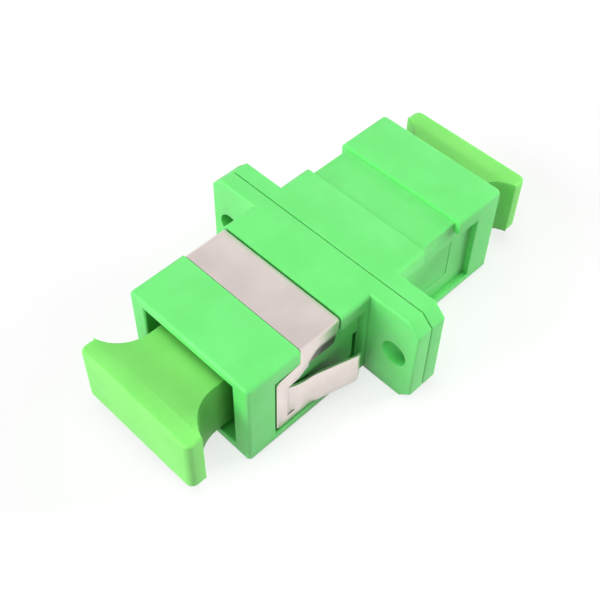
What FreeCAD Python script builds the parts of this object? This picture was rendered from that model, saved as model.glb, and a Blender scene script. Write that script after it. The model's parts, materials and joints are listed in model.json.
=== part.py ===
import FreeCAD, Part
import math
import os

import Sketcher

# Simplex fibre adapter for a panel: two moulded housing halves meet at a flange with two screw
# holes, a folded steel clip grips the panel from behind, two latch inserts carry a split
# ceramic sleeve on the optical axis, and a dust plug closes each port.
#
# Axes: X across the flange, Y along the optical axis, Z up. The origin lies on the optical axis,
# in the flange face that seats on the panel. Each half is drawn from the seam towards -Y, with
# the seam at y = 0 and the optical axis at z = 0; placements then carry it into the row frame.

SIZES = [
    ("body_width", 12.6, "barrel, across"),
    ("body_height", 9.1, "barrel and flange, bottom to top"),
    ("half_length", 13.8, "seam to port face"),
    ("corner_round", 0.45, "long edges of the barrel"),
    ("rim_round", 0.3, "edges of the port face"),
    ("hole_pitch", 18.0, "between the screw holes"),
    ("hole_radius", 1.15, "screw hole"),
    ("ear_end", 2.0, "screw hole's centre to the ear's end"),
    ("flange_half", 1.5, "flange thickness in one half"),
    ("flange_corner", 1.0, "bevel on the ears' corners"),
    ("flange_round", 0.18, "edge of the flange's outer face"),
    ("seam_bevel", 0.1, "bevel that shows the seam as a fine line"),
    ("groove_near", 4.5, "seam to the near side of the clip groove"),
    ("groove_width", 4.2, "clip groove, along the barrel"),
    ("land_round", 0.35, "lower corner of the land past the clip groove"),
    ("groove_depth", 0.4, "clip groove in the top"),
    ("recess_near", 1.95, "seam to the side recess"),
    ("recess_far", 11.2, "seam to the recess's far wall"),
    ("recess_depth", 0.55, "side recess, into the wall"),
    ("rail_height", 0.93, "wall left under the side recess"),
    ("shoulder_height", 1.55, "wall left over the side recess"),
    ("window_ledge", 0.12, "recess floor left between the slot and the recess's end"),
    ("window_width", 0.46, "slot in the recess floor for the tongue's tip"),
    ("window_round", 0.65, "rounded corner of the recess floor at the foot of the slot"),
    ("window_foot", 1.6, "start of that corner, up from the rail"),
    ("window_height", 3.9, "slot, up from the rail"),
    ("pad_past", 0.05, "moulded pad outline, past the clip groove"),
    ("pad_height", 3.9, "moulded pad outline, on the axis"),
    ("pad_depth", 0.06, "moulded pad outline"),
    ("side_wall", 1.6, "wall each side of the port"),
    ("top_wall", 0.825, "wall over and under the port"),
    ("port_bevel", 0.12, "lead-in round the port's mouth"),
    ("key_width", 2.3, "keyway through the bottom wall"),
    ("key_length", 6.0, "keyway, in from the port face"),
    ("seat_step", 0.8, "seat for the insert's plate, wider than the port each side"),
    ("seat_depth", 1.3, "seat, in from the seam"),
    ("seat_gap", 0.05, "play round the insert's plate"),
    ("arm_thickness", 0.65, "latch arm"),
    ("arm_width", 3.2, "latch arm, bottom to top"),
    ("arm_wall_gap", 0.25, "room between arm and port wall"),
    ("arm_length", 10.2, "seam to the end of the latch arm"),
    ("hook_height", 0.6, "hook, in from its arm"),
    ("hook_length", 1.1, "hook, along the arm"),
    ("hook_ramp", 0.7, "lead-in part of the hook"),
    ("sleeve_bore", 1.25, "radius of the sleeve's bore, for a 2.5 ferrule"),
    ("sleeve_wall", 0.35, "wall of the split sleeve"),
    ("sleeve_length", 11.4, "split sleeve, end to end"),
    ("sleeve_slot", 0.5, "slot along the sleeve"),
    ("sleeve_play", 0.06, "room round the sleeve in its holder"),
    ("sleeve_end_play", 0.1, "room at each end of the sleeve"),
    ("holder_wall", 0.5, "wall of the sleeve holder"),
    ("holder_lip", 0.6, "stop at the holder's mouth"),
    ("lip_gap", 0.2, "room for the ferrule in the stop's hole"),
    ("sheet", 0.2, "clip steel"),
    ("clip_side_gap", 0.13, "clip to groove side"),
    ("clip_seat_gap", 0.02, "clip to groove floor"),
    ("clip_leg_gap", 0.21, "clip leg to recess floor"),
    ("clip_bend", 0.1, "inner radius of the clip's corners"),
    ("foot_gap", 0.3, "foot to the recess's far wall"),
    ("foot_rail_gap", 0.06, "foot to rail"),
    ("foot_shoulder_gap", 0.27, "foot to shoulder, at the strip"),
    ("foot_drop", 0.3, "fall of the foot's top edge"),
    ("foot_corner", 0.3, "bevelled corners of the foot"),
    ("notch_depth", 1.17, "notch's point, past the strip's far edge"),
    ("notch_rise", 0.15, "rise of the notch's upper side, to the strip's far edge"),
    ("notch_sweep", 5.0, "radius of the tongue's top edge at the notch"),
    ("notch_height", 4.5, "notch's point, over the foot's edge"),
    ("tab_height", 5.2, "lower edge of the strip's tab, over the foot's edge"),
    ("tab_sweep", 1.6, "radius at the tab's lower edge"),
    ("tab_straight", 2.53, "level part of the tab's lower edge"),
    ("tab_inset", 0.25, "tab's near edge, in from the strip's near edge"),
    ("tab_fold", 0.1, "fold of the tab, over the shoulder's lower edge"),
    ("tab_shoulder", 0.6, "slanted stretch of the near edge, over the fold"),
    ("tab_level", 1.7, "level part of the fold, from the tab's near edge"),
    ("tab_reach", 3.3, "tab, along the barrel"),
    ("tab_bow", 4.0, "radius of the tab's outline at the leg"),
    ("tab_lean", 0.16, "tab's lower edge, bent in from the leg"),
    ("tab_corner", 0.3, "lower near corner of the tab"),
    ("tongue_height", 3.25, "tongue at its tip"),
    ("tongue_root", 3.5, "tongue at its bend"),
    ("tongue_inset", 0.87, "tongue's bend, in from the strip's far edge"),
    ("tongue_bend_radius", 3.0, "outer radius of the tongue's bend"),
    ("tongue_angle", 15.0, "flare, in degrees"),
    ("tongue_length", 3.6, "tongue, from bend to curl"),
    ("curl_radius", 0.5, "curled tip"),
    ("curl_angle", 50.0, "turn of the curled tip, in degrees"),
    ("tip_round", 0.8, "lower corner of the tongue's tip"),
    ("slit_height", 0.92, "lanced slit, over the foot's edge"),
    ("slit_inset", 1.02, "lanced slit, in from the foot's end"),
    ("slit_length", 0.84, "lanced slit in the foot"),
    ("slit_bow", 0.5, "radius of the slit's upper edge"),
    ("plug_reach", 4.25, "plug's end past the port face, pushed home"),
    ("front_plug_out", 0.95, "front plug, drawn out from home"),
    ("plug_inset", 0.4, "grip plate's end, in from the barrel's side"),
    ("plug_plate", 1.4, "grip plate, thickness"),
    ("waist_radius", 3.3, "hollow flank of the grip"),
    ("waist_shoulder", 0.3, "waist wider than the stem, each side"),
    ("plug_round", 0.3, "edges of the grip plate"),
    ("plug_corner", 0.62, "outer corners of the grip plate, seen from above"),
    ("stem_gap", 0.1, "plug stem to hook"),
    ("stem_stop", 0.15, "plug's shoulder to the hook's end, pushed home"),
    ("stem_end_gap", 0.9, "insert's plate to the end of the stem, pushed home"),
    ("stem_play", 0.15, "plug's bore round the sleeve holder"),
    ("stem_wall", 0.43, "stem, over and under the bore"),
    ("bore_floor", 5.45, "bottom of the plug's bore to the plug's outer end"),
]

doc = FreeCAD.newDocument("fibre_adapter")
sheet = doc.addObject("Spreadsheet::Sheet", "dims")


class Size:
    """A length with its value and the spreadsheet expression that gives it."""

    def __init__(self, value, text):
        self.value = float(value)
        self.text = text

    def join(self, other, sign, result):
        return Size(result, f"({self.text} {sign} {as_size(other).text})")

    def __add__(self, other):
        return self.join(other, "+", self.value + as_size(other).value)

    def __sub__(self, other):
        return self.join(other, "-", self.value - as_size(other).value)

    def __mul__(self, other):
        return self.join(other, "*", self.value * as_size(other).value)

    def __truediv__(self, other):
        return self.join(other, "/", self.value / as_size(other).value)

    def __neg__(self):
        return Size(-self.value, f"(0 - {self.text})")


def as_size(number):
    return number if isinstance(number, Size) else Size(number, repr(number))


def read_sheet():
    """Fill the sheet and give each alias back as a Size."""
    sizes = {}
    for row, (alias, value, note) in enumerate(SIZES, start=1):
        sheet.set(f"A{row}", alias)
        sheet.set(f"B{row}", str(value))
        sheet.set(f"C{row}", note)
        sheet.setAlias(f"B{row}", alias)
        sizes[alias] = Size(value, f"dims.{alias}")
    doc.recompute()
    return sizes


SIZE = read_sheet()
POSITIVE_Y_HALF = FreeCAD.Rotation(FreeCAD.Vector(0, 0, 1), 180)
STRAIGHT = FreeCAD.Rotation()


def size(alias):
    return SIZE[alias]


def sine(angle):
    return Size(math.sin(math.radians(angle.value)), f"sin({angle.text} * 1 deg)")


def cosine(angle):
    return Size(math.cos(math.radians(angle.value)), f"cos({angle.text} * 1 deg)")


def root(square):
    return Size(math.sqrt(square.value), f"sqrt({square.text})")


# ---------------------------------------------------------------- sketch and feature helpers


def new_body(label):
    body = doc.addObject("PartDesign::Body", label)
    body.Label = label
    return body


def new_sketch(body, role, name, lift=None):
    """A sketch on one of the body's own origin planes, lifted along the plane's normal."""
    sketch = body.newObject("Sketcher::SketchObject", name)
    plane = next(item for item in body.Origin.OriginFeatures if item.Role == role)
    sketch.AttachmentSupport = [(plane, "")]
    sketch.MapMode = "FlatFace"
    if lift is not None:
        sketch.setExpression("AttachmentOffset.Base.z", lift.text)
    return sketch


def bind(sketch, kind, places, length):
    """Add a dimension whose value the spreadsheet gives."""
    index = sketch.addConstraint(Sketcher.Constraint(kind, *places, length.value))
    sketch.setExpression(f"Constraints[{index}]", length.text)


def pin(sketch, curve, end, x, y):
    """Fix one end of a curve at x, y from the sketch's origin."""
    for kind, axis, place in (("DistanceX", -2, as_size(x)), ("DistanceY", -1, as_size(y))):
        if place.value > 0:
            bind(sketch, kind, (-1, 1, curve, end), place)
        elif place.value < 0:
            bind(sketch, kind, (curve, end, -1, 1), -place)
        else:
            sketch.addConstraint(Sketcher.Constraint("PointOnObject", curve, end, axis))


def arc_between(first, last, radius):
    """The shorter arc from first to last; a positive radius turns left."""
    chord = last - first
    side = FreeCAD.Vector(-chord.y, chord.x, 0).normalize()
    rise = math.sqrt(radius * radius - chord.Length * chord.Length / 4)
    centre = (first + last) / 2 + side * math.copysign(rise, radius)
    start, end = (first, last) if radius > 0 else (last, first)
    circle = Part.Circle(centre, FreeCAD.Vector(0, 0, 1), abs(radius))
    angles = [math.atan2(p.y - centre.y, p.x - centre.x) for p in (start, end)]
    return Part.ArcOfCircle(circle, angles[0], angles[1])


def outline(sketch, corners):
    """A closed outline of (x, y) corners; a third value bows the side that follows it."""
    points = [FreeCAD.Vector(as_size(c[0]).value, as_size(c[1]).value, 0) for c in corners]
    ends = []
    for number, corner in enumerate(corners):
        first, last = points[number], points[(number + 1) % len(points)]
        if len(corner) == 2:
            curve = sketch.addGeometry(Part.LineSegment(first, last))
            ends.append((curve, 1, 2))
            continue
        radius = corner[2]
        curve = sketch.addGeometry(arc_between(first, last, radius.value))
        bind(sketch, "Radius", (curve,), radius if radius.value > 0 else -radius)
        ends.append((curve, 1, 2) if radius.value > 0 else (curve, 2, 1))
    for number, (curve, start, _) in enumerate(ends):
        before, _, finish = ends[number - 1]
        sketch.addConstraint(Sketcher.Constraint("Coincident", before, finish, curve, start))
        pin(sketch, curve, start, corners[number][0], corners[number][1])


def rectangle(sketch, left, right, low, high):
    outline(sketch, [(left, low), (right, low), (right, high), (left, high)])


def rounded_rectangle(sketch, half_width, half_height, radius):
    inner_x, inner_y = half_width - radius, half_height - radius
    outline(sketch, [
        (-inner_x, -half_height), (inner_x, -half_height, radius),
        (half_width, -inner_y), (half_width, inner_y, radius),
        (inner_x, half_height), (-inner_x, half_height, radius),
        (-half_width, inner_y), (-half_width, -inner_y, radius),
    ])


def circle(sketch, radius, x=0):
    """A circle with its centre on the sketch's x axis."""
    place = as_size(x)
    middle = FreeCAD.Vector(place.value, 0, 0)
    curve = sketch.addGeometry(Part.Circle(middle, FreeCAD.Vector(0, 0, 1), radius.value))
    bind(sketch, "Radius", (curve,), radius)
    pin(sketch, curve, 3, place, 0)


def pad(body, sketch, length, symmetric=False, other_way=False):
    feature = body.newObject("PartDesign::Pad", sketch.Name + "_pad")
    feature.Profile = sketch
    feature.Midplane = symmetric
    feature.Reversed = other_way
    feature.setExpression("Length", length.text)
    doc.recompute()
    return feature


def pocket(body, sketch, length=None, symmetric=False, other_way=False):
    """Cut the sketch to a depth, or right through, and make sure that it did cut."""
    before = body.Tip.Shape.Volume
    feature = body.newObject("PartDesign::Pocket", sketch.Name + "_cut")
    feature.Profile = sketch
    feature.Midplane = symmetric
    feature.Reversed = other_way
    if length is None:
        feature.Type = "ThroughAll"
    else:
        feature.setExpression("Length", length.text)
    doc.recompute()
    if feature.Shape.Volume >= before:
        raise RuntimeError(f"{feature.Name} cuts nothing")
    return feature


def mirror(body, features):
    """Repeat features on the other side of the body's X = 0 plane."""
    plane = next(item for item in body.Origin.OriginFeatures if item.Role == "YZ_Plane")
    feature = body.newObject("PartDesign::Mirrored", features[0].Name + "_mirror")
    feature.Originals = features
    feature.MirrorPlane = (plane, [""])
    body.Tip = feature
    doc.recompute()
    return feature


def dress(body, kind, wanted, radius):
    """Round or bevel the edges of the body's last feature that wanted() picks."""
    base = body.Tip
    names = [f"Edge{n}" for n, edge in enumerate(base.Shape.Edges, start=1) if wanted(edge)]
    if not names:
        raise RuntimeError(f"no edge to dress on {base.Name}")
    feature = body.newObject("PartDesign::" + kind, base.Name + "_" + kind.lower())
    feature.Base = (base, names)
    feature.setExpression("Radius" if kind == "Fillet" else "Size", radius.text)
    doc.recompute()
    return feature


NEAR = 1e-4  # two places closer than this are the same place


def spans(edge, axis, place):
    """True where the whole edge lies at one place along an axis: 0 is X, 1 is Y, 2 is Z."""
    box = edge.BoundBox
    low, high = (box.XMin, box.YMin, box.ZMin)[axis], (box.XMax, box.YMax, box.ZMax)[axis]
    return abs(low - place) < NEAR and abs(high - place) < NEAR


def edge_at(axis, place):
    def picks(edge):
        return spans(edge, axis, place)

    return picks


def straight_edge_at(axis, place):
    def picks(edge):
        return isinstance(edge.Curve, Part.Line) and spans(edge, axis, place)

    return picks


def set_down(body, rotation):
    """Carry a half from the seam's frame into the row frame."""
    body.Placement = FreeCAD.Placement(FreeCAD.Vector(0, size("flange_half").value, 0), rotation)
    body.setExpression("Placement.Base.y", size("flange_half").text)


# ---------------------------------------------------------------- places that pieces share

HALF_WIDTH = size("body_width") / 2
HALF_HEIGHT = size("body_height") / 2
RECESS_FLOOR = HALF_WIDTH - size("recess_depth")
RAIL_TOP = size("rail_height") - HALF_HEIGHT
RECESS_TOP = HALF_HEIGHT - size("shoulder_height")
GROOVE_FLOOR = HALF_HEIGHT - size("groove_depth")
GROOVE_FAR = size("groove_near") + size("groove_width")
PORT_HALF_WIDTH = HALF_WIDTH - size("side_wall")
PORT_HALF_HEIGHT = HALF_HEIGHT - size("top_wall")
SEAT_HALF_WIDTH = PORT_HALF_WIDTH + size("seat_step")
SLEEVE_RADIUS = size("sleeve_bore") + size("sleeve_wall")
HOLDER_BORE = SLEEVE_RADIUS + size("sleeve_play")
HOLDER_RADIUS = HOLDER_BORE + size("holder_wall")
HOLDER_DEPTH = size("sleeve_length") / 2 + size("sleeve_end_play")
ARM_OUTER = PORT_HALF_WIDTH - size("arm_wall_gap")
ARM_INNER = ARM_OUTER - size("arm_thickness")
HOOK_TIP = ARM_INNER - size("hook_height")
OUTSIDE = 2  # how far a cutting outline stands clear of what it cuts


def build_housing_half(label, rotation, has_pad_outline):
    """One outer moulding: half the flange, the barrel with its clip groove, and the port."""
    body = new_body(label)
    ear, corner = size("hole_pitch") / 2 + size("ear_end"), size("flange_corner")
    low_ear, low_side = HALF_HEIGHT - corner, ear - corner

    flange = new_sketch(body, "XZ_Plane", label + "_flange")
    outline(flange, [
        (-low_side, -HALF_HEIGHT), (low_side, -HALF_HEIGHT), (ear, -low_ear), (ear, low_ear),
        (low_side, HALF_HEIGHT), (-low_side, HALF_HEIGHT), (-ear, low_ear), (-ear, -low_ear),
    ])
    for side in (-1, 1):
        circle(flange, size("hole_radius"), size("hole_pitch") * side / 2)
    pad(body, flange, size("flange_half"))
    face = -size("flange_half").value
    dress(body, "Fillet", straight_edge_at(1, face), size("flange_round"))
    dress(body, "Chamfer", straight_edge_at(1, 0), size("seam_bevel"))

    barrel_start = size("flange_half") / 2
    barrel = new_sketch(body, "XZ_Plane", label + "_barrel", barrel_start)
    rounded_rectangle(barrel, HALF_WIDTH, HALF_HEIGHT, size("corner_round"))
    pad(body, barrel, size("half_length") - barrel_start)
    mouth = -size("half_length").value
    dress(body, "Fillet", edge_at(1, mouth), size("rim_round"))

    # the clip groove runs over the top and down both sides to the side recesses
    groove = new_sketch(body, "XZ_Plane", label + "_groove", size("groove_near"))
    away = HALF_WIDTH + OUTSIDE
    above = HALF_HEIGHT + OUTSIDE
    outline(groove, [
        (-away, RECESS_TOP), (-RECESS_FLOOR, RECESS_TOP), (-RECESS_FLOOR, GROOVE_FLOOR),
        (RECESS_FLOOR, GROOVE_FLOOR), (RECESS_FLOOR, RECESS_TOP), (away, RECESS_TOP),
        (away, above), (-away, above),
    ])
    pocket(body, groove, size("groove_width"), other_way=True)

    def is_groove_corner(edge):
        at_side = any(spans(edge, 0, side * RECESS_FLOOR.value) for side in (-1, 1))
        return at_side and spans(edge, 2, GROOVE_FLOOR.value)

    dress(body, "Fillet", is_groove_corner, size("clip_bend"))

    recess = new_sketch(body, "YZ_Plane", label + "_recess", RECESS_FLOOR)
    rectangle(recess, -size("recess_far"), -size("recess_near"), RAIL_TOP, RECESS_TOP)
    recess_cut = pocket(body, recess, other_way=True)
    mirror(body, [recess_cut])

    def is_land_corner(edge):
        return spans(edge, 1, -GROOVE_FAR.value) and spans(edge, 2, RECESS_TOP.value)

    dress(body, "Fillet", is_land_corner, size("land_round"))

    if has_pad_outline:
        mark = new_sketch(body, "YZ_Plane", label + "_mark", RECESS_FLOOR - size("pad_depth"))
        half_mark = size("pad_height") / 2
        mark_far = GROOVE_FAR + size("pad_past")
        rectangle(mark, -mark_far, -size("recess_near"), -half_mark, half_mark)
        mark_cut = pocket(body, mark, other_way=True)
        mirror(body, [mark_cut])

    port = new_sketch(body, "XZ_Plane", label + "_port", size("half_length"))
    rectangle(port, -PORT_HALF_WIDTH, PORT_HALF_WIDTH, -PORT_HALF_HEIGHT, PORT_HALF_HEIGHT)
    pocket(body, port)

    def is_port_mouth(edge):
        middle = edge.BoundBox.Center
        in_width = abs(middle.x) < PORT_HALF_WIDTH.value + NEAR
        in_height = abs(middle.z) < PORT_HALF_HEIGHT.value + NEAR
        return spans(edge, 1, mouth) and in_width and in_height

    dress(body, "Chamfer", is_port_mouth, size("port_bevel"))

    seat = new_sketch(body, "XZ_Plane", label + "_seat")
    rectangle(seat, -SEAT_HALF_WIDTH, SEAT_HALF_WIDTH, -PORT_HALF_HEIGHT, PORT_HALF_HEIGHT)
    pocket(body, seat, size("seat_depth"), other_way=True)

    keyway = new_sketch(body, "XZ_Plane", label + "_keyway", size("half_length"))
    half_key = size("key_width") / 2
    rectangle(keyway, -half_key, half_key, -(HALF_HEIGHT + OUTSIDE), -PORT_HALF_HEIGHT / 2)
    pocket(body, keyway, size("key_length"))

    window = new_sketch(body, "YZ_Plane", label + "_window")
    window_near = size("recess_near") + size("window_ledge")
    window_far = window_near + size("window_width")
    window_foot, round_off = RAIL_TOP + size("window_foot"), size("window_round")
    outline(window, [
        (-window_far - round_off, RAIL_TOP), (-window_near, RAIL_TOP),
        (-window_near, RAIL_TOP + size("window_height")),
        (-window_far, RAIL_TOP + size("window_height")), (-window_far, window_foot, -round_off),
        (-window_far - round_off, window_foot - round_off),
    ])
    pocket(body, window, symmetric=True)

    set_down(body, rotation)
    return body


def build_latch_insert(label, rotation):
    """The inner moulding: a plate held in the seat, two hooked arms and the sleeve holder."""
    body = new_body(label)
    gap = size("seat_gap")

    plate = new_sketch(body, "XZ_Plane", label + "_plate")
    half_plate, plate_top = SEAT_HALF_WIDTH - gap, PORT_HALF_HEIGHT - gap
    rectangle(plate, -half_plate, half_plate, -plate_top, plate_top)
    pad(body, plate, size("seat_depth"))

    holder = new_sketch(body, "XZ_Plane", label + "_holder")
    circle(holder, HOLDER_RADIUS)
    holder_length = HOLDER_DEPTH + size("holder_lip")
    pad(body, holder, holder_length)

    half_arm = size("arm_width") / 2
    arm = new_sketch(body, "XZ_Plane", label + "_arm")
    rectangle(arm, ARM_INNER, ARM_OUTER, -half_arm, half_arm)
    arm_pad = pad(body, arm, size("arm_length"))

    hook = new_sketch(body, "XY_Plane", label + "_hook")
    in_arm = ARM_INNER + size("arm_thickness") / 2
    outline(hook, [
        (in_arm, -size("arm_length")),
        (ARM_INNER, -size("arm_length")),
        (HOOK_TIP, size("hook_ramp") - size("arm_length")),
        (HOOK_TIP, size("hook_length") - size("arm_length")),
        (in_arm, size("hook_length") - size("arm_length")),
    ])
    hook_pad = pad(body, hook, size("arm_width"), symmetric=True)
    mirror(body, [arm_pad, hook_pad])

    bore = new_sketch(body, "XZ_Plane", label + "_bore")
    circle(bore, HOLDER_BORE)
    pocket(body, bore, HOLDER_DEPTH, other_way=True)
    mouth_hole = new_sketch(body, "XZ_Plane", label + "_mouth")
    circle(mouth_hole, size("sleeve_bore") + size("lip_gap"))
    pocket(body, mouth_hole, other_way=True)

    set_down(body, rotation)
    return body


def build_sleeve(label):
    """The split ceramic sleeve that lines up two ferrules."""
    body = new_body(label)
    half = size("sleeve_length") / 2
    ring = new_sketch(body, "XZ_Plane", label + "_ring", -half)
    circle(ring, SLEEVE_RADIUS)
    circle(ring, size("sleeve_bore"))
    pad(body, ring, size("sleeve_length"))
    slot = new_sketch(body, "XZ_Plane", label + "_slot", -half)
    half_slot = size("sleeve_slot") / 2
    rectangle(slot, -half_slot, half_slot, size("sleeve_bore") / 2, SLEEVE_RADIUS + OUTSIDE)
    pocket(body, slot, size("sleeve_length"), other_way=True)
    set_down(body, STRAIGHT)
    return body


def build_clip(label):
    """The panel clip: a strip over the top, and on each side a foot with a sprung tongue."""
    body = new_body(label)
    sheet_steel, bend = size("sheet"), size("clip_bend")
    inner_x = RECESS_FLOOR + size("clip_leg_gap")
    outer_x = inner_x + sheet_steel
    inner_z = GROOVE_FLOOR + size("clip_seat_gap")
    outer_z = inner_z + sheet_steel
    near_edge = size("groove_near") + size("clip_side_gap")
    far_edge = GROOVE_FAR - size("clip_side_gap")
    bend_start = far_edge - size("tongue_inset")
    foot_edge = RAIL_TOP + size("foot_rail_gap")
    foot_end = size("recess_far") - size("foot_gap")
    notch_z = foot_edge + size("notch_height")
    outer_bend = bend + sheet_steel

    strip = new_sketch(body, "XZ_Plane", label + "_strip", near_edge)
    outline(strip, [
        (-outer_x, notch_z), (-inner_x, notch_z),
        (-inner_x, inner_z - bend, -bend), (bend - inner_x, inner_z),
        (inner_x - bend, inner_z, -bend), (inner_x, inner_z - bend),
        (inner_x, notch_z), (outer_x, notch_z),
        (outer_x, outer_z - outer_bend, outer_bend), (outer_x - outer_bend, outer_z),
        (outer_bend - outer_x, outer_z, outer_bend), (-outer_x, outer_z - outer_bend),
    ])
    pad(body, strip, far_edge - near_edge)

    # a tab is freed from each leg at the near side and bent in below its fold
    fold_z, tab_z = RECESS_TOP + size("tab_fold"), foot_edge + size("tab_height")
    tab_near = near_edge + size("tab_inset")
    tab_end = tab_near + size("tab_reach")
    opening = new_sketch(body, "YZ_Plane", label + "_opening")
    beside = -near_edge + OUTSIDE
    outline(opening, [
        (-tab_end, notch_z - OUTSIDE), (beside, notch_z - OUTSIDE),
        (beside, fold_z + size("tab_shoulder")), (-near_edge, fold_z + size("tab_shoulder")),
        (-tab_near, fold_z), (-tab_near - size("tab_level"), fold_z, size("tab_bow")),
        (-tab_end, notch_z + size("notch_rise")),
    ])
    pocket(body, opening, symmetric=True)
    tab = new_sketch(body, "XZ_Plane", label + "_tab", tab_near)
    lean = size("tab_lean")
    outline(tab, [
        (inner_x, fold_z + sheet_steel), (inner_x, fold_z), (inner_x - lean, tab_z),
        (outer_x - lean, tab_z), (outer_x, fold_z), (outer_x, fold_z + sheet_steel),
    ])
    tab_pad = pad(body, tab, size("tab_reach"))
    mirror(body, [tab_pad])

    def is_tab_corner(edge):
        return spans(edge, 1, -tab_near.value) and spans(edge, 2, tab_z.value)

    dress(body, "Fillet", is_tab_corner, size("tab_corner"))

    foot = new_sketch(body, "YZ_Plane", label + "_foot", inner_x)
    foot_top = RECESS_TOP - size("foot_shoulder_gap")
    corner = size("foot_corner")
    outline(foot, [
        (corner - foot_end, foot_edge), (-bend_start, foot_edge),
        (-bend_start, foot_top), (-far_edge, foot_top),
        (corner - foot_end, foot_top - size("foot_drop")),
        (-foot_end, foot_top - size("foot_drop") - corner),
        (-foot_end, foot_edge + corner),
    ])
    foot_pad = pad(body, foot, sheet_steel)

    # the tongue in plan: straight from the foot, bent outwards, with its tip curled back
    angle, turned = size("tongue_angle"), size("curl_angle") - size("tongue_angle")
    radius, curl = size("tongue_bend_radius"), size("curl_radius")
    bend_x = outer_x + radius - radius * cosine(angle)
    bend_y = radius * sine(angle) - bend_start
    flare_x = bend_x + size("tongue_length") * sine(angle)
    flare_y = bend_y + size("tongue_length") * cosine(angle)
    tip_x = flare_x - curl * cosine(angle) + curl * cosine(turned)
    tip_y = flare_y + curl * sine(angle) + curl * sine(turned)
    tongue = new_sketch(body, "XY_Plane", label + "_tongue", foot_edge)
    overlap = bend_start + sheet_steel
    outline(tongue, [
        (outer_x, -overlap),
        (outer_x, -bend_start, -radius), (bend_x, bend_y),
        (flare_x, flare_y, curl),
        (tip_x, tip_y),
        (tip_x - sheet_steel * cosine(turned), tip_y - sheet_steel * sine(turned),
         sheet_steel - curl),
        (flare_x - sheet_steel * cosine(angle), flare_y + sheet_steel * sine(angle)),
        (bend_x - sheet_steel * cosine(angle), bend_y + sheet_steel * sine(angle),
         radius + sheet_steel),
        (inner_x, -bend_start), (inner_x, -overlap),
    ])
    tongue_pad = pad(body, tongue, size("notch_height"))
    mirror(body, [foot_pad, tongue_pad])

    # the notch that frees the tongue from the strip's tab
    notch = new_sketch(body, "YZ_Plane", label + "_notch")
    level_start = near_edge + size("tab_straight")
    beyond = tip_y + OUTSIDE
    outline(notch, [
        (-(far_edge + size("notch_depth")), notch_z, size("notch_sweep")),
        (-bend_start, foot_edge + size("tongue_root")),
        (tip_y, foot_edge + size("tongue_height")),
        (beyond, foot_edge + size("tongue_height")),
        (beyond, tab_z), (-level_start, tab_z, size("tab_sweep")),
        (-far_edge, notch_z + size("notch_rise")),
    ])
    pocket(body, notch, symmetric=True)

    tip = new_sketch(body, "YZ_Plane", label + "_tip")
    tip_round = size("tip_round")
    below = foot_edge - OUTSIDE
    outline(tip, [
        (tip_y - tip_round, foot_edge, tip_round), (tip_y, foot_edge + tip_round),
        (beyond, foot_edge + tip_round), (beyond, below), (tip_y - tip_round, below),
    ])
    pocket(body, tip, symmetric=True)

    slit = new_sketch(body, "YZ_Plane", label + "_slit")
    slit_start = size("slit_inset") - foot_end
    slit_low = foot_edge + size("slit_height")
    outline(slit, [
        (slit_start, slit_low), (slit_start + size("slit_length"), slit_low, size("slit_bow")),
    ])
    pocket(body, slit, symmetric=True)

    set_down(body, STRAIGHT)
    return body


def build_plug(label, rotation, drawn_out):
    """A dust plug: grip plate, waist with hollow flanks, and a bored stem."""
    body = new_body(label)
    end = size("half_length") + size("plug_reach") + drawn_out
    half_stem = HOOK_TIP - size("stem_gap")
    half_waist = half_stem + size("waist_shoulder")
    half_plate = HALF_WIDTH - size("plug_inset")
    bore_radius = HOLDER_RADIUS + size("stem_play")
    stem_height = (bore_radius + size("stem_wall")) * 2
    shoulder = size("arm_length") + size("stem_stop") + drawn_out
    stem_end = size("seat_depth") + size("stem_end_gap") + drawn_out
    plate_inner = end - size("plug_plate")
    radius = size("waist_radius")
    side = radius - (half_plate - half_waist)
    flank_end = plate_inner - root(radius * radius - side * side)

    plate = new_sketch(body, "XY_Plane", label + "_plate")
    rectangle(plate, -half_plate, half_plate, -end, -plate_inner)
    pad(body, plate, stem_height, symmetric=True)

    def is_end_corner(edge):
        upright = edge.BoundBox.ZLength > size("plug_plate").value
        return upright and spans(edge, 1, -end.value)

    def is_grip_edge(edge):
        level = edge.BoundBox.ZLength < NEAR
        return level and not spans(edge, 1, -plate_inner.value)

    dress(body, "Fillet", is_end_corner, size("plug_corner"))
    dress(body, "Fillet", is_grip_edge, size("plug_round"))

    waist = new_sketch(body, "XY_Plane", label + "_waist")
    outline(waist, [
        (-half_plate, -plate_inner), (half_plate, -plate_inner, -radius),
        (half_waist, -flank_end), (half_waist, -shoulder),
        (half_stem, -shoulder), (half_stem, -stem_end),
        (-half_stem, -stem_end), (-half_stem, -shoulder),
        (-half_waist, -shoulder), (-half_waist, -flank_end, -radius),
    ])
    pad(body, waist, stem_height, symmetric=True)

    bore = new_sketch(body, "XZ_Plane", label + "_bore", stem_end)
    circle(bore, bore_radius)
    pocket(body, bore, end - size("bore_floor") - stem_end, other_way=True)

    set_down(body, rotation)
    return body


def check_document():
    """Stop on any object that failed, before anything is written."""
    for item in doc.Objects:
        if "Invalid" in item.State or "Error" in item.State:
            raise RuntimeError(f"{item.Name} failed: {item.State}")


def write_parts(bodies):
    os.makedirs("parts", exist_ok=True)
    for body in bodies:
        shape = body.Shape
        if shape.isNull() or not shape.isValid() or len(shape.Solids) != 1:
            raise RuntimeError(f"{body.Label} is not one valid solid")
        shape.exportStep(f"parts/{body.Label}.step")
        print(body.Label, round(shape.Volume, 2), "mm3")


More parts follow.
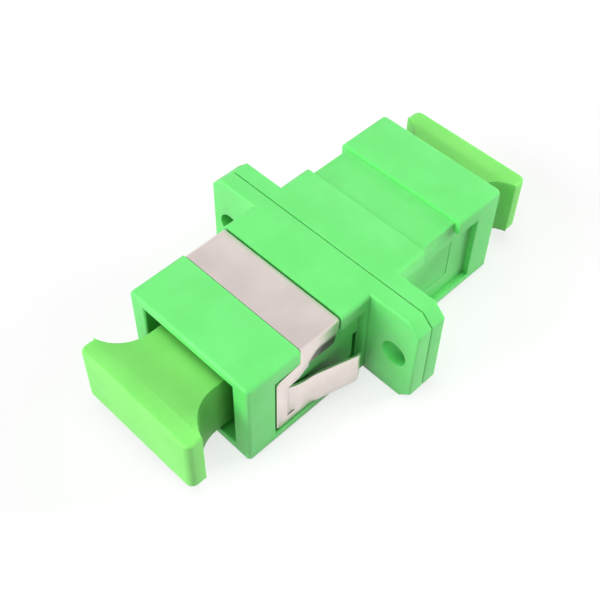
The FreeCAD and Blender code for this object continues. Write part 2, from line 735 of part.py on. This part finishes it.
BODIES = [
    build_housing_half("front_housing", STRAIGHT, has_pad_outline=False),
    build_housing_half("rear_housing", POSITIVE_Y_HALF, has_pad_outline=True),
    build_latch_insert("front_latch_insert", STRAIGHT),
    build_latch_insert("rear_latch_insert", POSITIVE_Y_HALF),
    build_sleeve("alignment_sleeve"),
    build_clip("panel_clip"),
    build_plug("front_dust_plug", STRAIGHT, size("front_plug_out")),
    build_plug("rear_dust_plug", POSITIVE_Y_HALF, Size(0, "0")),
]
doc.recompute()
check_document()
write_parts(BODIES)
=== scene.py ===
# %% [markdown]
# A simplex fibre adapter: two moulded green housing halves that meet at a screw flange, a
# folded steel clip over the top, and a soft lime dust plug in each port. The shapes come
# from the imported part. This script gives them their finishes, a table, light and a camera.
# Lengths are in metres, and one millimetre is written as MM.

import json
import math

import bpy
from mathutils import Matrix, Vector

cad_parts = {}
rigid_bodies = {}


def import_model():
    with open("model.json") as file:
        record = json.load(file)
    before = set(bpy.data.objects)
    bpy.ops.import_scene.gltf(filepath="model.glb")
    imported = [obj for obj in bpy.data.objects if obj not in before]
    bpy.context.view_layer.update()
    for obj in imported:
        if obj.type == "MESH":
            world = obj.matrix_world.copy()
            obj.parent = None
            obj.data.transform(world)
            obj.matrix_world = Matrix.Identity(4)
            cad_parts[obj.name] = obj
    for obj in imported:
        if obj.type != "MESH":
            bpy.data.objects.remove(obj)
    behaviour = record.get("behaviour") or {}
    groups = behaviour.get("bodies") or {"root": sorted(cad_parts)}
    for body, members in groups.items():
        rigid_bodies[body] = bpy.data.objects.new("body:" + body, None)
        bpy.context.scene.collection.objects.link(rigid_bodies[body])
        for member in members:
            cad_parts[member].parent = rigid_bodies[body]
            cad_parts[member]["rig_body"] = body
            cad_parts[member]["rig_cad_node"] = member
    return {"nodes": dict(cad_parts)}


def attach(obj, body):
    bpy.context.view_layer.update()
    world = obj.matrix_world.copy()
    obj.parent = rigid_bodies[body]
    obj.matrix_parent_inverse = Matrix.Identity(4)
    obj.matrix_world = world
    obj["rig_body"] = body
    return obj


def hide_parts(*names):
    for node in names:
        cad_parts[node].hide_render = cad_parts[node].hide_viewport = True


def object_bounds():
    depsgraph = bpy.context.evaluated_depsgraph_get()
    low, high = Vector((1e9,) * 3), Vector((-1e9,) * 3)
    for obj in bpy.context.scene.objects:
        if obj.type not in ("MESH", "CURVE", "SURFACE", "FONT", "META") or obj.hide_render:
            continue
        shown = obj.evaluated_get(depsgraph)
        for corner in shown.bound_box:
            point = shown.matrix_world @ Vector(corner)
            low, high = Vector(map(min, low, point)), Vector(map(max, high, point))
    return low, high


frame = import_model()
cad_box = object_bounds()
MM = 0.001

bpy.ops.object.select_all(action="DESELECT")
print("nodes:", sorted(frame["nodes"]))

# %% [markdown]
# The adapter is small, so it is looked at from close by: the camera is 80 mm away, high over
# the clip's side, and turned so that the optical axis runs from bottom left to top right.
# The camera's own axes are written down as directions, because that is easier to change by
# hand than three angles.

# %% Camera
CAMERA_PLACE = Vector((35.94, -37.97, 63.29)) * MM
CAMERA_RIGHT = Vector((0.7058, 0.7083, 0.0139))
CAMERA_FORWARD = Vector((-0.4364, 0.4502, -0.7790))
LENS = 62.7


def add_camera():
    bpy.ops.object.camera_add()
    camera = bpy.context.object
    camera.name = "camera"
    right = CAMERA_RIGHT.normalized()
    back = -CAMERA_FORWARD.normalized()
    up = back.cross(right).normalized()
    right = up.cross(back)
    axes = Matrix((right, up, back)).transposed()
    camera.matrix_world = Matrix.Translation(CAMERA_PLACE) @ axes.to_4x4()
    camera.data.lens = LENS
    camera.data.clip_start = 1 * MM
    camera.data.clip_end = 5
    return camera


bpy.context.scene.camera = add_camera()
bpy.context.scene.view_settings.view_transform = "Standard"

# %% [markdown]
# The adapter lies on a white table under soft light. The table and the world look white to
# the camera and to glossy surfaces, through the Light Path node, without more light on
# the part. A share of the table's own shading stays, so it keeps a pale shadow. What the
# table throws back on the part is a darker grey, so that the part's sides keep their depth.
# The table lies a hair under the part, so that no two faces share one plane.

# %% White table
TABLE_REACH = 1.2
TABLE_DROP = 0.01 * MM
TABLE_WHITE = 0.95
TABLE_BOUNCE = 0.3
SHADOW_SHARE = 0.3


def add_node(tree, kind, **settings):
    """Add a shader node, setting its properties and, by name, its input sockets."""
    node = tree.nodes.new(kind)
    for name, value in settings.items():
        if name in node.inputs:
            node.inputs[name].default_value = value
        else:
            setattr(node, name, value)
    return node


def seen_directly(tree):
    """1 for what the camera, a mirror or glass sees, 0 for what lights the part."""
    rays = add_node(tree, "ShaderNodeLightPath")
    camera_or_gloss = add_node(tree, "ShaderNodeMath", operation="MAXIMUM")
    any_seen = add_node(tree, "ShaderNodeMath", operation="MAXIMUM")
    tree.links.new(rays.outputs["Is Camera Ray"], camera_or_gloss.inputs[0])
    tree.links.new(rays.outputs["Is Glossy Ray"], camera_or_gloss.inputs[1])
    tree.links.new(camera_or_gloss.outputs[0], any_seen.inputs[0])
    tree.links.new(rays.outputs["Is Transmission Ray"], any_seen.inputs[1])
    return any_seen.outputs[0]


def table_finish():
    material = bpy.data.materials.new("white_table")
    material.use_nodes = True
    tree = material.node_tree
    tree.nodes.clear()
    grey = add_node(tree, "ShaderNodeBsdfDiffuse", Color=(TABLE_BOUNCE,) * 3 + (1,))
    matte = add_node(tree, "ShaderNodeBsdfDiffuse", Color=(TABLE_WHITE,) * 3 + (1,))
    white = add_node(tree, "ShaderNodeEmission", Strength=1.0)
    shaded = add_node(tree, "ShaderNodeMixShader", Fac=1 - SHADOW_SHARE)
    tree.links.new(matte.outputs[0], shaded.inputs[1])
    tree.links.new(white.outputs[0], shaded.inputs[2])
    blend = add_node(tree, "ShaderNodeMixShader")
    output = add_node(tree, "ShaderNodeOutputMaterial")
    tree.links.new(seen_directly(tree), blend.inputs[0])
    tree.links.new(grey.outputs[0], blend.inputs[1])
    tree.links.new(shaded.outputs[0], blend.inputs[2])
    tree.links.new(blend.outputs[0], output.inputs["Surface"])
    return material


bottom = cad_box[0][2] - TABLE_DROP
bpy.ops.mesh.primitive_plane_add(size=TABLE_REACH, location=(0, 0, bottom))
table = bpy.context.object
table.name = "table"
table.data.materials.append(table_finish())
print("table at", round(bottom / MM, 2), "mm")

# %% [markdown]
# The room round the table is white at eye level and a little greyer overhead, as in a light
# tent. The white only meets the camera and glossy surfaces, and the steel of the clip
# takes its tone from it. Very little of that light falls on the part itself.

# %% Room
WORLD_LIGHT = 0.06
ROOM_ZENITH = 0.75
WHITE_UP_TO = 0.35


def light_the_world():
    world = bpy.data.worlds.new("white_room")
    bpy.context.scene.world = world
    world.use_nodes = True
    tree = world.node_tree
    tree.nodes.clear()
    soft = add_node(tree, "ShaderNodeBackground", Color=(1, 1, 1, 1), Strength=WORLD_LIGHT)
    white = add_node(tree, "ShaderNodeBackground", Strength=1.0)
    direction = add_node(tree, "ShaderNodeTexCoord")
    parts = add_node(tree, "ShaderNodeSeparateXYZ")
    overhead = add_node(tree, "ShaderNodeValToRGB")
    overhead.color_ramp.elements[0].position = WHITE_UP_TO
    overhead.color_ramp.elements[0].color = (1, 1, 1, 1)
    overhead.color_ramp.elements[1].color = (ROOM_ZENITH,) * 3 + (1,)
    tree.links.new(direction.outputs["Generated"], parts.inputs["Vector"])
    tree.links.new(parts.outputs["Z"], overhead.inputs["Fac"])
    tree.links.new(overhead.outputs["Color"], white.inputs["Color"])
    blend = add_node(tree, "ShaderNodeMixShader")
    output = add_node(tree, "ShaderNodeOutputWorld")
    tree.links.new(seen_directly(tree), blend.inputs[0])
    tree.links.new(soft.outputs[0], blend.inputs[1])
    tree.links.new(white.outputs[0], blend.inputs[2])
    tree.links.new(blend.outputs[0], output.inputs["Surface"])


light_the_world()

# %% [markdown]
# Four large lamps stand round the table like the soft boxes of a small studio, and each one
# faces the adapter. Glossy surfaces don't mirror them, only the white room: a mirrored lamp
# would turn the steel strip, or the flat tops seen against it, plain white.

# %% Lamps
LAMPS = {
    "front_left_window": ((-0.14, -0.28, 0.14), 0.22, 0.80),
    "front_window": ((0.0, -0.30, 0.13), 0.22, 0.44),
    "overhead_softbox": ((0.0, -0.06, 0.36), 0.26, 0.64),
    "rear_window": ((0.17, 0.30, 0.10), 0.20, 1.50),
}


def add_lamp(name, place, width, power):
    bpy.ops.object.light_add(type="AREA", location=place)
    lamp = bpy.context.object
    lamp.name = name
    lamp.data.size = width
    lamp.data.energy = power
    lamp.visible_glossy = False
    lamp.rotation_euler = Vector(place).to_track_quat("Z", "Y").to_euler()
    return lamp


for name, settings in LAMPS.items():
    add_lamp(name, *settings)

# %% [markdown]
# Every finish is a Principled shader whose colour and roughness drift a little, because no
# real surface is one flat tone. The drift is noise on Object coordinates, so that it stays
# with the piece when a plug slides. These helpers are shared by all the finishes.

# %% Helpers for the finishes
NOISE_LOW, NOISE_HIGH = 0.35, 0.65
SPREAD_LOW, SPREAD_HIGH = 0.3, 0.7


def object_noise(tree, size, detail, stretch=(1, 1, 1)):
    """Noise whose lumps are about size metres across, on the piece's own coordinates."""
    place = add_node(tree, "ShaderNodeTexCoord")
    mapping = add_node(tree, "ShaderNodeMapping")
    mapping.inputs["Scale"].default_value = [1 / (size * axis) for axis in stretch]
    noise = add_node(tree, "ShaderNodeTexNoise", Scale=1.0, Detail=detail)
    tree.links.new(place.outputs["Object"], mapping.inputs["Vector"])
    tree.links.new(mapping.outputs["Vector"], noise.inputs["Vector"])
    return noise.outputs["Fac"]


def new_finish(name, **sockets):
    """A Principled material, with the settings that are the same all over it."""
    material = bpy.data.materials.new(name)
    material.use_nodes = True
    tree = material.node_tree
    shader = tree.nodes["Principled BSDF"]
    for socket, value in sockets.items():
        shader.inputs[socket.replace("_", " ")].default_value = value
    return material, tree, shader


def colour_between(tree, factor, dark, pale):
    """A colour that runs from dark to pale as the factor goes through its middle range."""
    ramp = add_node(tree, "ShaderNodeValToRGB")
    ramp.color_ramp.elements[0].position = NOISE_LOW
    ramp.color_ramp.elements[1].position = NOISE_HIGH
    ramp.color_ramp.elements[0].color = (*dark, 1)
    ramp.color_ramp.elements[1].color = (*pale, 1)
    tree.links.new(factor, ramp.inputs["Fac"])
    return ramp.outputs["Color"]


def mapped(tree, value, from_low, from_high, to_low=0.0, to_high=1.0):
    """The value, moved from one range to another and held at its ends."""
    spread = add_node(tree, "ShaderNodeMapRange")
    spread.inputs["From Min"].default_value = from_low
    spread.inputs["From Max"].default_value = from_high
    spread.inputs["To Min"].default_value = to_low
    spread.inputs["To Max"].default_value = to_high
    tree.links.new(value, spread.inputs["Value"])
    return spread.outputs["Result"]


def range_of(tree, noise, low, high):
    """A number that runs from low to high as the noise goes through its middle range."""
    return mapped(tree, noise, SPREAD_LOW, SPREAD_HIGH, low, high)


def blend_colours(tree, factor, first, second):
    """The first colour where the factor is 0 and the second where it is 1."""
    blend = add_node(tree, "ShaderNodeMix", data_type="RGBA")
    factor_in, first_in, second_in = blend.inputs[0], blend.inputs[6], blend.inputs[7]
    tree.links.new(factor, factor_in)
    tree.links.new(first, first_in)
    second_in.default_value = (*second, 1)
    return blend.outputs[2]


def painted_gap_shade(tree, colour, shade_colour, reach, half_open, shut):
    """Painted shade: the colour in the open, and the shade colour where walls stand close
    round within reach.
    """
    open_sky = add_node(tree, "ShaderNodeAmbientOcclusion", samples=8, Distance=reach)
    closed = mapped(tree, open_sky.outputs["AO"], half_open, shut)
    return blend_colours(tree, closed, colour, shade_colour)


def bumped(tree, shader, height, strength, distance):
    """A shallow bump on the shader, from a height between 0 and 1."""
    bump = add_node(tree, "ShaderNodeBump", Strength=strength, Distance=distance)
    tree.links.new(height, bump.inputs["Height"])
    tree.links.new(bump.outputs["Normal"], shader.inputs["Normal"])


# %% [markdown]
# The housings are injection moulded in a satin green plastic, the latch inserts in the same
# one and the plugs in a softer lime one. Light goes a little way into them, so they have some
# subsurface. Each has a very fine eroded grain, and a faint cloudiness where the melt flowed.
# In a narrow gap or a hole the colour gets a painted shade of deeper green, and that is
# done twice: close up for the seams, and from further away for the ports and screw holes.

# %% Moulded plastic
GRAIN = 0.08 * MM
CLOUD = 4 * MM
ROUGHNESS_DRIFT = 0.05


def moulded_plastic(name, dark, pale, shade_colour, roughness, grain_height, depth):
    """A satin plastic that runs from dark to pale, with a painted shade of the shade colour in
    gaps.
    """
    material, tree, shader = new_finish(
        name, Subsurface_Weight=0.25, Subsurface_Scale=depth,
        Subsurface_Radius=(0.3, 1.0, 0.3), IOR=1.6, Specular_IOR_Level=1.0,
    )
    tone = colour_between(tree, object_noise(tree, CLOUD, 3), dark, pale)
    # Painted shade: a deeper green close up in the seams, then further out in the ports and
    # screw holes.
    tone = painted_gap_shade(tree, tone, shade_colour, 0.35 * MM, half_open=0.8, shut=0.2)
    tone = painted_gap_shade(tree, tone, shade_colour, 2.5 * MM, half_open=0.62, shut=0.15)
    tree.links.new(tone, shader.inputs["Base Color"])
    drift = object_noise(tree, 1.5 * MM, 4)
    rough = range_of(tree, drift, roughness - ROUGHNESS_DRIFT, roughness + ROUGHNESS_DRIFT)
    tree.links.new(rough, shader.inputs["Roughness"])
    bumped(tree, shader, object_noise(tree, GRAIN, 2), 0.35, grain_height)
    print("made", material.name)
    return material


housing_green = moulded_plastic(
    "housing_green", dark=(0.13, 0.73, 0.155), pale=(0.15, 0.78, 0.18), shade_colour=(0.0, 0.25, 0.02),
    roughness=0.5, grain_height=0.006 * MM, depth=0.4 * MM,
)
insert_green = moulded_plastic(
    "insert_green", dark=(0.12, 0.66, 0.15), pale=(0.14, 0.71, 0.17), shade_colour=(0.0, 0.2, 0.02),
    roughness=0.5, grain_height=0.006 * MM, depth=0.4 * MM,
)
plug_lime = moulded_plastic(
    "plug_lime", dark=(0.205, 0.76, 0.135), pale=(0.235, 0.81, 0.155), shade_colour=(0.02, 0.3, 0.01),
    roughness=0.58, grain_height=0.008 * MM, depth=0.7 * MM,
)

# %% [markdown]
# The clip is cold-rolled stainless sheet. Rolling leaves fine lines that run the long way of
# the strip, so the noise is stretched along X and Z and stays fine along Y. The lines then
# follow the strip over the top and down its legs. Metalness is 1, and the lines change
# the roughness and a very shallow bump. In the seams beside the housing the steel's colour
# gets a painted shade, near black. On each side a small tab is folded in under the strip.
# Its colour gets a painted reflection of the shaded recess behind it: a dark tone that grows
# from the fold downwards and towards the tab's near end.

# %% Clip steel
LEG_FACE = 6.16 * MM
TAB_SINK = 0.06 * MM
FOLD_HEIGHT = 3.1 * MM
FOLD_BLUR = 0.1 * MM
TAB_PALE_Y, TAB_DARK_Y = -7.2 * MM, -4.6 * MM


def painted_tab_reflection(tree):
    """1 on the tabs bent in from the legs' outer faces, where a painted reflection of the
    shaded recess darkens the steel, and 0 elsewhere.
    """
    place = add_node(tree, "ShaderNodeTexCoord")
    parts = add_node(tree, "ShaderNodeSeparateXYZ")
    tree.links.new(place.outputs["Object"], parts.inputs["Vector"])
    side = add_node(tree, "ShaderNodeMath", operation="ABSOLUTE")
    tree.links.new(parts.outputs["X"], side.inputs[0])
    under_the_leg = mapped(tree, side.outputs[0], LEG_FACE, LEG_FACE - TAB_SINK)
    under_the_fold = mapped(tree, parts.outputs["Z"], FOLD_HEIGHT + FOLD_BLUR, FOLD_HEIGHT)
    near_its_end = mapped(tree, parts.outputs["Y"], TAB_PALE_Y, TAB_DARK_Y)
    product = under_the_leg
    for share in (under_the_fold, near_its_end):
        both = add_node(tree, "ShaderNodeMath", operation="MULTIPLY")
        tree.links.new(product, both.inputs[0])
        tree.links.new(share, both.inputs[1])
        product = both.outputs[0]
    return product


def rolled_steel():
    material, tree, shader = new_finish("clip_steel", Metallic=1.0)
    lines = object_noise(tree, 0.12 * MM, 3, stretch=(60, 1, 60))
    smudge = object_noise(tree, 2.5 * MM, 3)
    tone = colour_between(tree, smudge, (0.82, 0.72, 0.695), (0.88, 0.78, 0.75))
    # Painted shade: the steel goes near black where walls stand close round, in the seams
    # beside the housing.
    tone = painted_gap_shade(tree, tone, (0.02, 0.03, 0.02), 0.4 * MM, half_open=0.7, shut=0.2)
    # Painted reflection: the tab's colour goes dark grey, as if it mirrored the shaded recess.
    tone = blend_colours(tree, painted_tab_reflection(tree), tone, (0.07, 0.07, 0.06))
    tree.links.new(tone, shader.inputs["Base Color"])
    tree.links.new(range_of(tree, lines, 0.34, 0.44), shader.inputs["Roughness"])
    bumped(tree, shader, lines, 0.15, 0.002 * MM)
    print("made", material.name)
    return material


clip_steel = rolled_steel()

# %% [markdown]
# The split sleeve is ground zirconia: white, dense and polished. It only shows when a plug
# is pulled. Fine rings from the grinding wheel run round it, so its noise is fine along Y.

# %% Ceramic
def ground_ceramic():
    material, tree, shader = new_finish(
        "sleeve_ceramic", Subsurface_Weight=0.3, Subsurface_Scale=0.3 * MM, IOR=2.1,
    )
    cloud = object_noise(tree, 1 * MM, 2)
    tone = colour_between(tree, cloud, (0.80, 0.79, 0.75), (0.86, 0.85, 0.82))
    tree.links.new(tone, shader.inputs["Base Color"])
    rings = object_noise(tree, 0.05 * MM, 2, stretch=(40, 1, 40))
    tree.links.new(range_of(tree, rings, 0.14, 0.24), shader.inputs["Roughness"])
    print("made", material.name)
    return material


sleeve_ceramic = ground_ceramic()

# %% [markdown]
# No moulded or punched edge is truly sharp, and the thin bright line along it is what makes
# a small part look real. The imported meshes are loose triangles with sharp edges, so each
# node gets a stand-in: a copy whose triangles are merged back into whole faces and whose
# sharp edges get a narrow bevel. The bevel only cuts corners off, so no size changes.

# %% Stand-ins with softened edges
SHARP = math.radians(35)
FLAT = math.radians(0.4)
SAME_POINT = 0.0002 * MM
BEVEL_SEGMENTS = 2


def softened(node, finish, width):
    """A copy of a node with a narrow bevel on its sharp edges, shown in the node's place."""
    bpy.ops.object.select_all(action="DESELECT")
    original = frame["nodes"][node]
    original.select_set(True)
    bpy.context.view_layer.objects.active = original
    bpy.ops.object.duplicate()
    piece = bpy.context.object
    piece.name = "soft_" + node
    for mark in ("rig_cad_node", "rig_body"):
        del piece[mark]
    bpy.ops.object.mode_set(mode="EDIT")
    bpy.ops.mesh.select_all(action="SELECT")
    bpy.ops.mesh.remove_doubles(threshold=SAME_POINT)
    bpy.ops.mesh.dissolve_limited(angle_limit=FLAT)
    bpy.ops.object.mode_set(mode="OBJECT")
    bevel = piece.modifiers.new("soft_edges", "BEVEL")
    bevel.width = width
    bevel.segments = BEVEL_SEGMENTS
    bevel.limit_method = "ANGLE"
    bevel.angle_limit = SHARP
    bpy.ops.object.modifier_apply(modifier="soft_edges")
    bpy.ops.object.shade_smooth_by_angle(angle=SHARP)
    piece.data.materials.clear()
    piece.data.materials.append(finish)
    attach(piece, original["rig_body"])
    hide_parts(node)
    print(piece.name, "has", len(piece.data.polygons), "faces")
    return piece


DRESS = {
    "front_housing": ("housing_green", housing_green, 0.05 * MM),
    "rear_housing": ("housing_green", housing_green, 0.05 * MM),
    "front_latch_insert": ("insert_green", insert_green, 0.04 * MM),
    "rear_latch_insert": ("insert_green", insert_green, 0.04 * MM),
    "panel_clip": ("clip_steel", clip_steel, 0.03 * MM),
    "front_dust_plug": ("plug_lime", plug_lime, 0.08 * MM),
    "rear_dust_plug": ("plug_lime", plug_lime, 0.08 * MM),
}

for node, (slot, finish, width) in DRESS.items():
    softened(node, finish, width)

# %% [markdown]
# The sleeve lies deep in the ports, where no bevel would show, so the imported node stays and
# only gets the ceramic in its material slot.

# %% Finish of the sleeve
sleeve = frame["nodes"]["alignment_sleeve"]
sleeve.data.materials.clear()
sleeve.data.materials.append(sleeve_ceramic)
